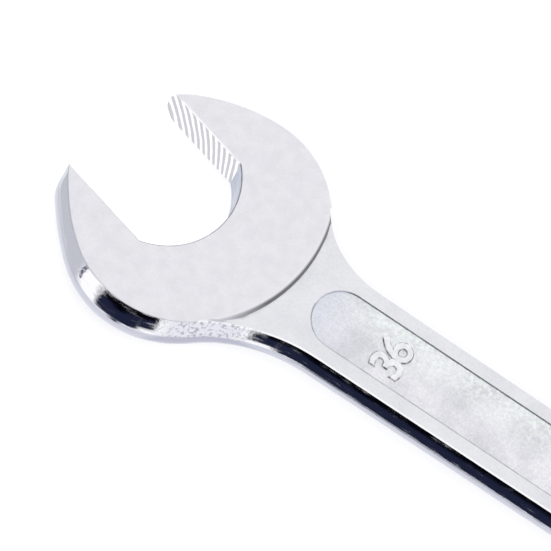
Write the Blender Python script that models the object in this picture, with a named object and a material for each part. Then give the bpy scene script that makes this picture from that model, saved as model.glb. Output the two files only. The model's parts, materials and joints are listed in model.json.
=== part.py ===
"""36 mm combination wrench with a fixed open jaw and a reversible ratcheting ring.

The wrench lies flat with +Z up, its shank along X and the open jaw towards +X. The origin is on the
surface that it lies on, under the middle of its bounding box.
"""

import math

import bmesh
import bpy
from mathutils import Vector

# Driving dimensions, in metres and degrees
ACROSS_FLATS = 0.036
NUT_TO_RING = 0.375
GAP = 0.0003

# Open jaw. Its outline is in the jaw's own frame: x out of the mouth, y across it, nut centre at 0
JAW_THICKNESS = 0.014
JAW_ANGLE = -15.0
JAW_BULGE, HEAD_BULGE = 0.0025, 0.0044
NUT_OFFSET = -0.0061
TIP_LEFT, TIP_RIGHT = (0.0182, 0.0178), (0.0152, -0.0178)
NOSE_LEFT, NOSE_RIGHT = (0.0158, 0.0206), (0.0136, -0.0198)
CHEEK_LEFT, CHEEK_RIGHT = (0.0128, 0.0232), (0.0115, -0.0219)
TEMPLE_LEFT, TEMPLE_RIGHT = (0.0052, 0.0288), (0.0040, -0.0279)
SHOULDER_LEFT, SHOULDER_RIGHT = (-0.0040, 0.0331), (-0.0080, -0.0337)
CROWN_LEFT, CROWN_RIGHT = (-0.0160, 0.0338), (-0.0218, -0.0351)
HEEL_LEFT, HEEL_RIGHT = (-0.0320, 0.0263), (-0.0353, -0.0289)
BACK = (-0.0435, -0.0030)
JAW_BULGE_END, JAW_BULGE_RUN = 0.0090, 0.0260
TIP_BULGE, TIP_TAPER = 0.0004, 0.0032
THROAT_LEFT, THROAT_BACK, THROAT_RIGHT = (-0.0097, 0.0180), (-0.0204, -0.0005), (-0.0109, -0.0180)

# Shank, whose edges run into both heads by fillets
SHANK_THICKNESS = 0.0105
SHANK_BULGE = 0.0026
SHANK_HALF_AT_JAW = 0.0128
SHANK_HALF_AT_RING = 0.0116
LEFT_NECK_FILLET, RIGHT_NECK_FILLET, RING_NECK_FILLET = 0.0540, 0.0287, 0.0600
PANEL_HALF_WIDTH = 0.0086
PANEL_DEPTH = 0.0005
PANEL_FROM_NUT = 0.0525
PANEL_FROM_RING = 0.0880

# Ring head: a large circle round the gear and a small one round the lever, joined by their tangents
RING_THICKNESS = 0.018
RING_BULGE = 0.0020
RING_RADIUS = 0.0330
NECK_RADIUS = 0.0210
NECK_X = 0.034
WEB_THICKNESS = 0.0035
COVER_THICKNESS = 0.0020
COVER_MARGIN = 0.0012

# Ratchet: one tooth of the gear sits every five degrees
GEAR_TEETH = 72
GEAR_TIP_RADIUS = 0.0266
GEAR_ROOT_RADIUS = 0.0254
JOURNAL_RADIUS = 0.0242
SOCKET_CLEARANCE = 0.00015
SOCKET_CHAMFER = 0.0007
PAWL_X = 0.0312
PAWL_ROCK = 7.7
PAWL_CLEARANCE = 0.00025
PAWL_PIN_RADIUS = 0.0018
PAWL_PIN_SOCKET = 0.0020
POCKET_HALF_WIDTH = 0.0166
POCKET_NEAR_X, POCKET_FAR_X = 0.0215, 0.0375

# Reversing lever, with the sprung plunger that holds the pawl over to one side
LEVER_X = 0.0418
LEVER_SWING = 30.0
LEVER_SHAFT_RADIUS = 0.0048
LEVER_HUB_RADIUS = 0.0068
LEVER_THICKNESS = 0.0026
LEVER_REACH = 0.0132
LEVER_TAB_RADIUS = 0.0034
LEVER_NECK_RADIUS = 0.0039
CLIP_INNER_RADIUS, CLIP_OUTER_RADIUS = 0.0042, 0.0059
CLIP_OPENING = 70.0
PLUNGER_RADIUS = 0.00135
PLUNGER_REACH = 0.0063
PLUNGER_LENGTH = 0.0048
SPRING_WIRE = 0.00025
SPRING_TURNS = 5
CLIP_THICKNESS = 0.0006

# Cover screws: three round the ring and one past the lever, from the ring's centre
SCREW_CIRCLE = 0.0291
SCREW_NECK_X = 0.0510
SCREW_HEAD_RADIUS = 0.0019
SCREW_RADIUS = 0.0010
SCREW_LENGTH = 0.0052
SCREW_HOLE_TOP = 0.0070
KEY_RADIUS, KEY_DEPTH = 0.0009, 0.0008
SCREW_PLACES = ((0.0, SCREW_CIRCLE), (-SCREW_CIRCLE, 0.0), (0.0, -SCREW_CIRCLE), (SCREW_NECK_X, 0.0))

# Heights, from the lowest face
MIDDLE_Z = RING_THICKNESS / 2
WEB_Z = RING_THICKNESS - WEB_THICKNESS
COVER_Z = COVER_THICKNESS + GAP
GEAR_LOW_Z, GEAR_HIGH_Z = COVER_Z + GAP, WEB_Z - GAP
OVERSHOOT = 0.004


# ---------------------------------------------------------------- outlines, counter-clockwise in plan


def polar(radius, degrees, centre=(0.0, 0.0)):
    """The point at this radius and angle about centre."""
    angle = math.radians(degrees)
    return (centre[0] + radius * math.cos(angle), centre[1] + radius * math.sin(angle))


def arc(centre, radius, start, end, steps):
    """Points along a circular arc, its two ends included."""
    return [polar(radius, start + (end - start) * k / steps, centre) for k in range(steps + 1)]


def circle(radius, steps, centre=(0.0, 0.0)):
    """A closed circle."""
    return arc(centre, radius, 0.0, 360.0 * (steps - 1) / steps, steps - 1)


def circle_through(first, via, last):
    """Centre and radius of the circle through three points."""
    (ax, ay), (bx, by), (cx, cy) = first, via, last
    double_area = 2 * (ax * (by - cy) + bx * (cy - ay) + cx * (ay - by))
    a, b, c = ax * ax + ay * ay, bx * bx + by * by, cx * cx + cy * cy
    x = (a * (by - cy) + b * (cy - ay) + c * (ay - by)) / double_area
    y = (a * (cx - bx) + b * (ax - cx) + c * (bx - ax)) / double_area
    return (x, y), math.hypot(ax - x, ay - y)


def arc_between(centre, radius, first, last, steps):
    """Points on a circle from the direction of first to that of last, the shorter way round."""
    start = math.degrees(math.atan2(first[1] - centre[1], first[0] - centre[0]))
    end = math.degrees(math.atan2(last[1] - centre[1], last[0] - centre[0]))
    turn = (end - start + 180.0) % 360.0 - 180.0
    return arc(centre, radius, start, start + turn, steps)


def arc_through(first, via, last, steps):
    """Points along the circular arc from first to last that passes through via, under half a turn."""
    centre, radius = circle_through(first, via, last)
    return arc_between(centre, radius, first, last, steps)


def fillet(centre, radius, edge_y, fillet_radius, towards, steps):
    """The concave arc from a circle to the straight edge at edge_y, which runs off towards +X or -X."""
    y = edge_y + math.copysign(fillet_radius, edge_y)
    reach = math.sqrt((radius + fillet_radius) ** 2 - (y - centre[1]) ** 2)
    middle = (centre[0] + towards * reach, y)
    return arc_between(middle, fillet_radius, centre, (middle[0], edge_y), steps)


def chain(*runs):
    """Runs of points end to end as one closed outline, without the points where two runs meet."""
    points = []
    for point in (point for run in runs for point in run):
        if not points or math.dist(point, points[-1]) > 1e-6:
            points.append(point)
    if math.dist(points[0], points[-1]) < 1e-6:
        points.pop()
    return points


def placed(points, x=0.0, y=0.0, degrees=0.0):
    """The points turned by degrees about 0, then moved by x and y."""
    cos, sin = math.cos(math.radians(degrees)), math.sin(math.radians(degrees))
    return [(x + px * cos - py * sin, y + px * sin + py * cos) for px, py in points]


def mirrored(points):
    """The outline mirrored across the X axis, still counter-clockwise."""
    return [(x, -y) for x, y in reversed(points)]


def grown(points, distances):
    """The outline with each point moved outwards so that its sides move by its distance."""
    result = []
    befores, afters = points[-1:] + points[:-1], points[1:] + points[:1]
    for before, here, after, distance in zip(befores, points, afters, distances):
        side_in = (Vector(here) - Vector(before)).normalized()
        side_out = (Vector(after) - Vector(here)).normalized()
        normal_in, normal_out = Vector((side_in.y, -side_in.x)), Vector((side_out.y, -side_out.x))
        shift = (normal_in + normal_out) * (distance / (1.0 + normal_in.dot(normal_out)))
        result.append((here[0] + shift.x, here[1] + shift.y))
    return result


def jaw_outline():
    """The open head as if its mouth were filled, in the jaw's frame."""
    return chain(
        arc_through(TIP_LEFT, NOSE_LEFT, CHEEK_LEFT, 4),
        arc_through(CHEEK_LEFT, TEMPLE_LEFT, SHOULDER_LEFT, 8),
        arc_through(SHOULDER_LEFT, CROWN_LEFT, HEEL_LEFT, 12),
        arc_through(HEEL_LEFT, BACK, HEEL_RIGHT, 16),
        arc_through(HEEL_RIGHT, CROWN_RIGHT, SHOULDER_RIGHT, 12),
        arc_through(SHOULDER_RIGHT, TEMPLE_RIGHT, CHEEK_RIGHT, 8),
        arc_through(CHEEK_RIGHT, NOSE_RIGHT, TIP_RIGHT, 4),
    )


def head_bulges(outline):
    """How far the open head's side stands out at each point: less on the jaws, and least at their tips."""
    bulges = []
    for x, y in outline:
        share = max(0.0, min(1.0, (JAW_BULGE_END - x) / JAW_BULGE_RUN))
        bulge = JAW_BULGE + (HEAD_BULGE - JAW_BULGE) * share * share * (3 - 2 * share)
        if x > 0.0:
            from_tip = max(0.0, min(1.0, (abs(y) - ACROSS_FLATS / 2) / TIP_TAPER))
            bulge = TIP_BULGE + (bulge - TIP_BULGE) * from_tip
        bulges.append(bulge)
    return bulges


def mouth_outline():
    """The gap between the jaws, in the jaw's frame, running out past the tips."""
    half = ACROSS_FLATS / 2
    out = TIP_LEFT[0] + HEAD_BULGE + OVERSHOOT
    throat = arc_through(THROAT_LEFT, THROAT_BACK, THROAT_RIGHT, 16)
    return chain([(out, half)], throat, [(out, -half)])


def ring_outline(inset=0.0):
    """The flat of the ring head round the ring's centre."""
    tangent = math.degrees(math.acos((RING_RADIUS - NECK_RADIUS) / NECK_X))
    large = arc((0.0, 0.0), RING_RADIUS - inset, tangent, 360.0 - tangent, 40)
    small = arc((NECK_X, 0.0), NECK_RADIUS - inset, -tangent, tangent, 18)
    return chain(large, small)


def shank_outline(nut_x, ring_x):
    """The flat of the shank, its ends inside both heads. Its axis is y = 0."""
    sides = []
    for points in ((SHOULDER_LEFT, CROWN_LEFT, HEEL_LEFT), (HEEL_RIGHT, CROWN_RIGHT, SHOULDER_RIGHT)):
        sides.append(circle_through(*placed(points, x=nut_x, y=NUT_OFFSET, degrees=JAW_ANGLE)))
    (left_centre, left_radius), (right_centre, right_radius) = sides
    left_neck = fillet(left_centre, left_radius, SHANK_HALF_AT_JAW, LEFT_NECK_FILLET, -1, 8)
    right_neck = fillet(right_centre, right_radius, -SHANK_HALF_AT_JAW, RIGHT_NECK_FILLET, -1, 10)
    flare = fillet((ring_x + NECK_X, 0.0), NECK_RADIUS, SHANK_HALF_AT_RING, RING_NECK_FILLET, 1, 8)
    return chain(left_neck, flare[::-1], [(x, -y) for x, y in flare], right_neck[::-1])


def panel_outline(low_x, high_x):
    """The sunk panel along the shank, with round ends."""
    right = arc((high_x - PANEL_HALF_WIDTH, 0.0), PANEL_HALF_WIDTH, -90.0, 90.0, 14)
    left = arc((low_x + PANEL_HALF_WIDTH, 0.0), PANEL_HALF_WIDTH, 90.0, 270.0, 14)
    return chain(right, left)


def gear_outline():
    """The ratchet teeth, with one at 0 degrees."""
    pitch = 360.0 / GEAR_TEETH
    tips = [polar(GEAR_TIP_RADIUS, k * pitch) for k in range(GEAR_TEETH)]
    roots = [polar(GEAR_ROOT_RADIUS, (k + 0.5) * pitch) for k in range(GEAR_TEETH)]
    return [point for pair in zip(tips, roots) for point in pair]


def socket_outline(growth=0.0):
    """A 12-point socket: two hexagons, one turned by 30 degrees."""
    flat = ACROSS_FLATS / 2 + SOCKET_CLEARANCE + growth
    outer, inner = flat / math.cos(math.radians(30.0)), flat / math.cos(math.radians(15.0))
    return [polar(inner if k % 2 else outer, 15.0 * k) for k in range(24)]


def pawl_arm():
    """The left arm of the pawl about its pin, midway between its two working positions."""
    tooth, gullet = GEAR_ROOT_RADIUS + PAWL_CLEARANCE, GEAR_TIP_RADIUS + PAWL_CLEARANCE
    engaged = [
        polar(0.0302, 30.5),
        polar(0.0270, 30.0),
        polar(tooth, 27.5),
        polar(gullet, 25.0),
        polar(tooth, 22.5),
        polar(gullet, 20.0),
        polar(tooth, 17.5),
        polar(0.0272, 14.8),
        polar(0.0281, 10.0),
    ]
    return placed(placed(engaged, x=-PAWL_X), degrees=-PAWL_ROCK)


def pawl_outline():
    """Two toothed arms and a hollow back that clears the plunger."""
    arm = pawl_arm()
    back = arc((LEVER_X - PAWL_X, 0.0), PLUNGER_REACH + 0.0005, 218.0, 142.0, 10)
    return chain(back, arm, mirrored(arm))


def lever_outline():
    """The lever's round hub and its thumb tab, which points along +X."""
    hub = arc((0.0, 0.0), LEVER_HUB_RADIUS, 40.0, 320.0, 28)
    tab = arc((LEVER_REACH - LEVER_TAB_RADIUS, 0.0), LEVER_TAB_RADIUS, -80.0, 80.0, 10)
    return chain(hub, tab)


def clip_outline():
    """An open retaining ring."""
    edge = CLIP_OPENING / 2
    outside = arc((0.0, 0.0), CLIP_OUTER_RADIUS, edge, 360.0 - edge, 24)
    inside = arc((0.0, 0.0), CLIP_INNER_RADIUS, 360.0 - edge, edge, 24)
    return chain(outside, inside)


# ---------------------------------------------------------------- solids


def material(name, colour, metallic, roughness):
    """A Principled material."""
    made = bpy.data.materials.new(name)
    made.use_nodes = True
    shader = made.node_tree.nodes["Principled BSDF"]
    shader.inputs["Base Color"].default_value = (*colour, 1.0)
    shader.inputs["Metallic"].default_value = metallic
    shader.inputs["Roughness"].default_value = roughness
    return made


def solid(name, levels, finish=None, at=(0.0, 0.0, 0.0)):
    """A closed solid through the levels, which are (outline, z) from the bottom up."""
    bm = bmesh.new()
    rows = [[bm.verts.new((x, y, z)) for x, y in outline] for outline, z in levels]
    for low, high in zip(rows, rows[1:]):
        for k in range(len(low)):
            after = (k + 1) % len(low)
            bm.faces.new((low[k], low[after], high[after], high[k]))
    bm.faces.new(rows[0][::-1])
    bm.faces.new(rows[-1])
    mesh = bpy.data.meshes.new(name)
    bm.to_mesh(mesh)
    bm.free()
    made = bpy.data.objects.new(name, mesh)
    made.location = at
    bpy.context.scene.collection.objects.link(made)
    if finish:
        mesh.materials.append(finish)
        mesh.shade_smooth()
        mesh.set_sharp_from_angle(angle=math.radians(30.0))
    return made


def prism(name, outline, low, high, **options):
    """A solid with one outline from z = low to z = high."""
    return solid(name, [(outline, low), (outline, high)], **options)


def bulged(outline, thickness, bulges, steps=8):
    """Levels through a slab about z = 0 whose side is a circular arc that stands out by its bulge."""
    levels = []
    half = thickness / 2
    for step in range(steps + 1):
        z = half * math.sin(math.radians(90.0 * (2.0 * step / steps - 1.0)))
        distances = []
        for bulge in bulges:
            radius = (half * half + bulge * bulge) / (2.0 * bulge)
            distances.append(math.sqrt(radius * radius - z * z) - (radius - bulge))
        levels.append((grown(outline, distances), z))
    return levels


def combine(target, operation, tools):
    """Boolean modifiers on target, with tools that aren't parts of the wrench themselves."""
    for tool in tools:
        modifier = target.modifiers.new(tool.name, "BOOLEAN")
        modifier.operation = operation
        modifier.object = tool
        modifier.solver = "EXACT"
        tool.hide_render = True
        tool.display_type = "WIRE"


# ---------------------------------------------------------------- the wrench


def layout():
    """Where the nut's centre, the ring's centre and the shank's axis lie, for a centred bounding box."""
    half = ACROSS_FLATS / 2
    flat = jaw_outline()
    jaws = [point for point in grown(flat, head_bulges(flat)) if abs(point[1]) >= half]
    jaws = placed(jaws, x=NUT_TO_RING, y=NUT_OFFSET, degrees=JAW_ANGLE)
    low_x = -RING_RADIUS - RING_BULGE
    high_x = max(x for x, _ in jaws)
    low_y = min(y for _, y in jaws)
    high_y = max(max(y for _, y in jaws), RING_RADIUS + RING_BULGE)
    ring_x = -(low_x + high_x) / 2
    return ring_x + NUT_TO_RING, ring_x, -(low_y + high_y) / 2


NUT_X, RING_X, AXIS_Y = layout()


def in_ring(outline, x=0.0, y=0.0):
    """An outline placed from the ring's centre."""
    return placed(outline, x=RING_X + x, y=AXIS_Y + y)


def in_jaw(outline):
    """An outline placed in the jaw's frame."""
    return placed(outline, x=NUT_X, y=AXIS_Y + NUT_OFFSET, degrees=JAW_ANGLE)


def screw_cutters(radius, head_radius, high):
    """Countersunk holes for the cover's screws, from below the cover up to high."""
    cutters = []
    for k, (x, y) in enumerate(SCREW_PLACES):
        wide, narrow = in_ring(circle(head_radius, 16), x, y), in_ring(circle(radius, 16), x, y)
        levels = [(wide, -GAP), (wide, 2 * GAP), (narrow, 2 * GAP + head_radius - radius), (narrow, high)]
        cutters.append(solid(f"screw_hole_{k}_{high:.3f}", levels))
    return cutters


def make_body(finish):
    """The forging: shank, filled heads joined to it, then everything that is machined out."""
    at = (0.0, 0.0, MIDDLE_Z)
    shank = placed(shank_outline(NUT_X, RING_X), y=AXIS_Y)
    shank_levels = bulged(shank, SHANK_THICKNESS, [SHANK_BULGE] * len(shank))
    head = jaw_outline()
    jaw_levels = bulged(in_jaw(head), JAW_THICKNESS, head_bulges(head))
    ring_flat = in_ring(ring_outline())
    ring_levels = bulged(ring_flat, RING_THICKNESS, [RING_BULGE] * len(ring_flat))
    body = solid("wrench_body", shank_levels, finish=finish, at=at)
    jaws = solid("jaw_blank", jaw_levels, at=at)
    ring = solid("ring_blank", ring_levels, at=at)
    combine(body, "UNION", [jaws, ring])

    panel = placed(panel_outline(RING_X + PANEL_FROM_RING, NUT_X - PANEL_FROM_NUT), y=AXIS_Y)
    face = SHANK_THICKNESS / 2
    seat = in_ring(ring_outline(inset=COVER_MARGIN))
    half = POCKET_HALF_WIDTH
    pocket = [(POCKET_FAR_X, -half), (POCKET_FAR_X, half), (POCKET_NEAR_X, half), (POCKET_NEAR_X, -half)]
    low, high = -OVERSHOOT, RING_THICKNESS + OVERSHOOT
    cutters = [
        prism("mouth", in_jaw(mouth_outline()), low, high),
        prism("upper_panel", panel, MIDDLE_Z + face - PANEL_DEPTH, MIDDLE_Z + face + OVERSHOOT),
        prism("lower_panel", panel, MIDDLE_Z - face - OVERSHOOT, MIDDLE_Z - face + PANEL_DEPTH),
        prism("cover_seat", seat, low, COVER_Z),
        prism("gear_cavity", in_ring(circle(GEAR_TIP_RADIUS + GAP, 96)), low, WEB_Z),
        prism("gear_bore", in_ring(circle(JOURNAL_RADIUS + GAP, 96)), low, high),
        prism("pawl_pocket", in_ring(pocket), low, WEB_Z),
        prism("lever_chamber", in_ring(circle(CLIP_OUTER_RADIUS + GAP, 32), LEVER_X), low, WEB_Z),
        prism("lever_bore", in_ring(circle(LEVER_SHAFT_RADIUS + GAP, 32), LEVER_X), low, high),
        prism("pin_hole", in_ring(circle(PAWL_PIN_RADIUS + GAP, 20), PAWL_X), low, WEB_Z + PAWL_PIN_SOCKET),
    ]
    screw_holes = screw_cutters(SCREW_RADIUS + GAP, SCREW_RADIUS + 2 * GAP, SCREW_HOLE_TOP)
    combine(body, "DIFFERENCE", cutters + screw_holes)


def make_gear(finish):
    """The ratchet gear: teeth between two journals, and the socket through it."""
    teeth = in_ring(gear_outline())
    journal = in_ring(circle(JOURNAL_RADIUS, 2 * GEAR_TEETH))
    levels = [
        (journal, GAP),
        (journal, GEAR_LOW_Z),
        (teeth, GEAR_LOW_Z),
        (teeth, GEAR_HIGH_Z),
        (journal, GEAR_HIGH_Z),
        (journal, RING_THICKNESS - GAP),
    ]
    centre = (RING_X, AXIS_Y, 0.0)
    local = [(placed(outline, x=-RING_X, y=-AXIS_Y), z) for outline, z in levels]
    gear = solid("ratchet_gear", local, finish=finish, at=centre)
    wide, narrow = socket_outline(SOCKET_CHAMFER), socket_outline()
    socket = [
        (wide, -OVERSHOOT),
        (wide, GAP),
        (narrow, GAP + SOCKET_CHAMFER),
        (narrow, RING_THICKNESS - GAP - SOCKET_CHAMFER),
        (wide, RING_THICKNESS - GAP),
        (wide, RING_THICKNESS + OVERSHOOT),
    ]
    combine(gear, "DIFFERENCE", [solid("socket", socket, at=centre)])


def make_pawl(finish):
    """The pawl, rocked so that its left arm is in the gear, and the pin that it rocks on."""
    at = (RING_X + PAWL_X, AXIS_Y, 0.0)
    pawl = prism("pawl", pawl_outline(), GEAR_LOW_Z, GEAR_HIGH_Z, finish=finish, at=at)
    pawl.rotation_euler.z = math.radians(PAWL_ROCK)
    hole = prism("pawl_hole", circle(PAWL_PIN_RADIUS + GAP, 20), 0.0, RING_THICKNESS, at=at)
    combine(pawl, "DIFFERENCE", [hole])
    pin_top = WEB_Z + PAWL_PIN_SOCKET - GAP
    prism("pawl_pin", circle(PAWL_PIN_RADIUS, 20), COVER_Z + GAP, pin_top, finish=finish, at=at)


def sprung_turn():
    """The rotation that takes local +Z to the way the plunger points in the first position."""
    return (0.0, math.radians(-90.0), math.radians(-LEVER_SWING))


def make_lever(steel, spring_steel):
    """The reversing lever in its first position, and the clip that keeps it in the head."""
    at = (RING_X + LEVER_X, AXIS_Y, 0.0)
    hub_z = RING_THICKNESS + GAP
    clip_high = WEB_Z - GAP
    clip_low = clip_high - CLIP_THICKNESS
    full, necked = circle(LEVER_SHAFT_RADIUS, 32), circle(LEVER_NECK_RADIUS, 32)
    levels = [
        (full, COVER_Z + GAP),
        (full, clip_low - GAP),
        (necked, clip_low - GAP),
        (necked, WEB_Z),
        (full, WEB_Z),
        (full, hub_z + LEVER_THICKNESS / 2),
    ]
    lever = prism("reversing_lever", lever_outline(), hub_z, hub_z + LEVER_THICKNESS, finish=steel, at=at)
    lever.rotation_euler.z = math.radians(-LEVER_SWING)
    bore_at = (at[0], at[1], (COVER_Z + WEB_Z) / 2)
    bore = prism("plunger_bore", circle(PLUNGER_RADIUS + GAP / 2, 20), -0.0030, 0.0090, at=bore_at)
    bore.rotation_euler = sprung_turn()
    combine(lever, "UNION", [solid("lever_shaft", levels, at=at)])
    combine(lever, "DIFFERENCE", [bore])
    clip = prism("lever_clip", clip_outline(), clip_low, clip_high, finish=spring_steel, at=at)
    clip.rotation_euler.z = math.radians(-LEVER_SWING)


def make_plunger(steel, spring_steel):
    """The round-nosed plunger in the lever's cross bore, and the coil spring behind it."""
    at = (RING_X + LEVER_X, AXIS_Y, (COVER_Z + WEB_Z) / 2)
    shoulder = PLUNGER_REACH - PLUNGER_RADIUS
    back = PLUNGER_REACH - PLUNGER_LENGTH
    levels = [(circle(PLUNGER_RADIUS, 20), back)]
    for degrees in (0.0, 25.0, 50.0, 75.0):
        radius, rise = polar(PLUNGER_RADIUS, degrees)
        levels.append((circle(radius, 20), shoulder + rise))
    plunger = solid("detent_plunger", levels, finish=steel, at=at)
    plunger.rotation_euler = sprung_turn()

    coil_radius = PLUNGER_RADIUS - GAP - SPRING_WIRE / 2
    low, high = -0.0025, back - GAP - SPRING_WIRE
    steps = 12 * SPRING_TURNS
    curve = bpy.data.curves.new("plunger_spring", "CURVE")
    curve.dimensions = "3D"
    curve.bevel_depth = SPRING_WIRE
    curve.bevel_resolution = 1
    curve.use_fill_caps = True
    spline = curve.splines.new("POLY")
    spline.points.add(steps)
    for k in range(steps + 1):
        x, y = polar(coil_radius, 30.0 * k)
        spline.points[k].co = (x, y, low + (high - low) * k / steps, 1.0)
    curve.materials.append(spring_steel)
    spring = bpy.data.objects.new("plunger_spring", curve)
    spring.location = at
    spring.rotation_euler = sprung_turn()
    bpy.context.scene.collection.objects.link(spring)


def make_cover(steel, screw_steel):
    """The plate that closes the ring head from below, and its countersunk screws."""
    outline = in_ring(ring_outline(inset=COVER_MARGIN + GAP))
    cover = prism("cover_plate", outline, 0.0, COVER_THICKNESS, finish=steel)
    bore = prism("cover_bore", in_ring(circle(JOURNAL_RADIUS + GAP, 96)), -OVERSHOOT, OVERSHOOT)
    holes = screw_cutters(SCREW_RADIUS + GAP, SCREW_HEAD_RADIUS + GAP, OVERSHOOT)
    combine(cover, "DIFFERENCE", [bore] + holes)
    for k, (x, y) in enumerate(SCREW_PLACES):
        wide, narrow = circle(SCREW_HEAD_RADIUS, 16), circle(SCREW_RADIUS, 16)
        neck = GAP + SCREW_HEAD_RADIUS - SCREW_RADIUS
        levels = [(wide, 0.0), (wide, GAP), (narrow, neck), (narrow, SCREW_LENGTH)]
        at = (RING_X + x, AXIS_Y + y, 0.0)
        screw = solid(f"cover_screw_{k + 1}", levels, finish=screw_steel, at=at)
        key = prism(f"screw_key_{k + 1}", circle(KEY_RADIUS, 6), -OVERSHOOT, KEY_DEPTH, at=at)
        combine(screw, "DIFFERENCE", [key])


def main():
    """Build the wrench in an empty scene."""
    for existing in list(bpy.data.objects):
        bpy.data.objects.remove(existing)
    chrome = material("satin_chrome", (0.78, 0.79, 0.81), 1.0, 0.28)
    hardened = material("hardened_steel", (0.55, 0.56, 0.58), 1.0, 0.35)
    blackened = material("blackened_steel", (0.06, 0.06, 0.07), 0.9, 0.45)
    spring_steel = material("spring_steel", (0.60, 0.60, 0.62), 1.0, 0.30)
    make_body(chrome)
    make_gear(chrome)
    make_pawl(hardened)
    make_lever(chrome, spring_steel)
    make_plunger(hardened, spring_steel)
    make_cover(chrome, blackened)


main()
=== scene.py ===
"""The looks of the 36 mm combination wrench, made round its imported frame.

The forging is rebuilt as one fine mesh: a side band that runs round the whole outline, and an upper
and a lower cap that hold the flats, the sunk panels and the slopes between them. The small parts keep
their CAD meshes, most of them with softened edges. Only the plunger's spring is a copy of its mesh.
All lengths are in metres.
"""

import json
import math

import bmesh
import bpy
import numpy as np
from mathutils import Matrix, Vector
from mathutils.geometry import delaunay_2d_cdt


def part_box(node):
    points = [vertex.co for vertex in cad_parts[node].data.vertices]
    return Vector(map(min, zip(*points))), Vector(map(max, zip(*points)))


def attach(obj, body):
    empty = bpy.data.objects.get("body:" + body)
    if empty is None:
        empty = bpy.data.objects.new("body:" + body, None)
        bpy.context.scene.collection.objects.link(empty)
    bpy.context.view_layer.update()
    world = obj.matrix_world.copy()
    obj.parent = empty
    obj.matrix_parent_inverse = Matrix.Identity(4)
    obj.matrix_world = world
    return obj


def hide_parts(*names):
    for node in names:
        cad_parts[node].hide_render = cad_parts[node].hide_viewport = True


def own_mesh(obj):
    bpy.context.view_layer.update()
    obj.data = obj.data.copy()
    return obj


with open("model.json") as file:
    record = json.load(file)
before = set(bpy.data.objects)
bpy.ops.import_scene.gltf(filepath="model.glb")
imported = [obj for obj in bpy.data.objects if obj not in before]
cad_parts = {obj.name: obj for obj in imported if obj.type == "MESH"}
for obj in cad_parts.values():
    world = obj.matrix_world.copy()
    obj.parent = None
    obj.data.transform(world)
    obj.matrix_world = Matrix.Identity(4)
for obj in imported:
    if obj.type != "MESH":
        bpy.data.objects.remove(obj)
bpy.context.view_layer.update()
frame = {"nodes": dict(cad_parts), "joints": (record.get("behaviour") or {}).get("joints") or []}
bpy.context.view_layer.update()

# Places, from the frame
gear_low, gear_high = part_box("ratchet_gear")
body_low, body_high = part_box("wrench_body")
RING = Vector(((gear_low.x + gear_high.x) / 2, (gear_low.y + gear_high.y) / 2))
MIDDLE_Z = (body_low.z + body_high.z) / 2
RING_HALF = (body_high.z - body_low.z) / 2
PIVOTS = {joint["name"]: Vector(joint["pos_m"]) for joint in frame["joints"] if "pos_m" in joint}
LEVER = PIVOTS["lever_turn"]
PAWL_PIVOT = PIVOTS["pawl_rock"]

# Sizes of the forging, as in the frame
ACROSS_FLATS = 0.036
NUT_TO_RING = 0.375
NUT_OFFSET = -0.0061
JAW_ANGLE = math.radians(-15.0)
JAW_HALF = 0.0070
SHANK_HALF = 0.00525
JAW_BULGE, HEAD_BULGE = 0.0024, 0.0043
JAW_BULGE_END, JAW_BULGE_RUN = 0.0090, 0.0260
SHANK_BULGE, RING_BULGE = 0.0029, 0.0020
HEEL_START, HEEL_RUN = -0.0360, 0.0260  # from the jaw's middle, along X
FLARE_START, FLARE_RUN = 0.0750, 0.0300  # from the ring's middle, along X
SHANK_EDGE_AT_JAW, SHANK_EDGE_AT_RING = 0.0128, 0.0116
LEFT_EDGE_SHIFT = 0.0002
RING_RADIUS, NECK_RADIUS, NECK_X = 0.0330, 0.0210, 0.034
LEFT_NECK_FILLET, RIGHT_NECK_FILLET, RING_NECK_FILLET = 0.0500, 0.0287, 0.0600
PANEL_HALF_WIDTH, PANEL_DEPTH, PANEL_WALL, PANEL_RIM_WIDTH = 0.0086, 0.0005, 0.00025, 0.00022
PANEL_FROM_NUT, PANEL_FROM_RING = 0.0525, 0.0880
STEP_HEIGHT, STEP_WIDTH = JAW_HALF - SHANK_HALF, 0.0014
RING_SLOPE_LENGTH = 0.0150
TIP_BULGE, TIP_TAPER = 0.00035, 0.0046
TIP_ROUNDING, TIP_ROUNDING_RUN = 0.0028, 0.0060
EDGE_RADIUS = 0.00030
MOUTH_EDGE = 0.00030

NUT = Vector((RING.x + NUT_TO_RING, RING.y + NUT_OFFSET))
MM = 0.001
WELD_DISTANCE = 0.00001
SAME_PLACE = 0.00001
NEARLY_STRAIGHT = 0.2  # sine of the bend below which an outline's two sides count as one


# ---------------------------------------------------------------- plan geometry, in 2-D vectors


def circle_through(a, b, c):
    """Centre and radius of the circle through three points."""
    double_area = 2 * (a.x * (b.y - c.y) + b.x * (c.y - a.y) + c.x * (a.y - b.y))
    aa, bb, cc = a.length_squared, b.length_squared, c.length_squared
    x = (aa * (b.y - c.y) + bb * (c.y - a.y) + cc * (a.y - b.y)) / double_area
    y = (aa * (c.x - b.x) + bb * (a.x - c.x) + cc * (b.x - a.x)) / double_area
    centre = Vector((x, y))
    return centre, (a - centre).length


def arc(centre, radius, first, last, spacing=0.0006):
    """Points on a circle from the direction of first to that of last, the shorter way round."""
    start = math.atan2(first.y - centre.y, first.x - centre.x)
    end = math.atan2(last.y - centre.y, last.x - centre.x)
    turn = (end - start + math.pi) % (2 * math.pi) - math.pi
    steps = max(2, math.ceil(abs(turn) * radius / spacing))
    angles = [start + turn * k / steps for k in range(steps + 1)]
    return [centre + radius * Vector((math.cos(a), math.sin(a))) for a in angles]


def arc_through(a, via, b):
    """Points on the circular arc from a through via to b."""
    centre, radius = circle_through(a, via, b)
    return arc(centre, radius, a, b)


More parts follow.
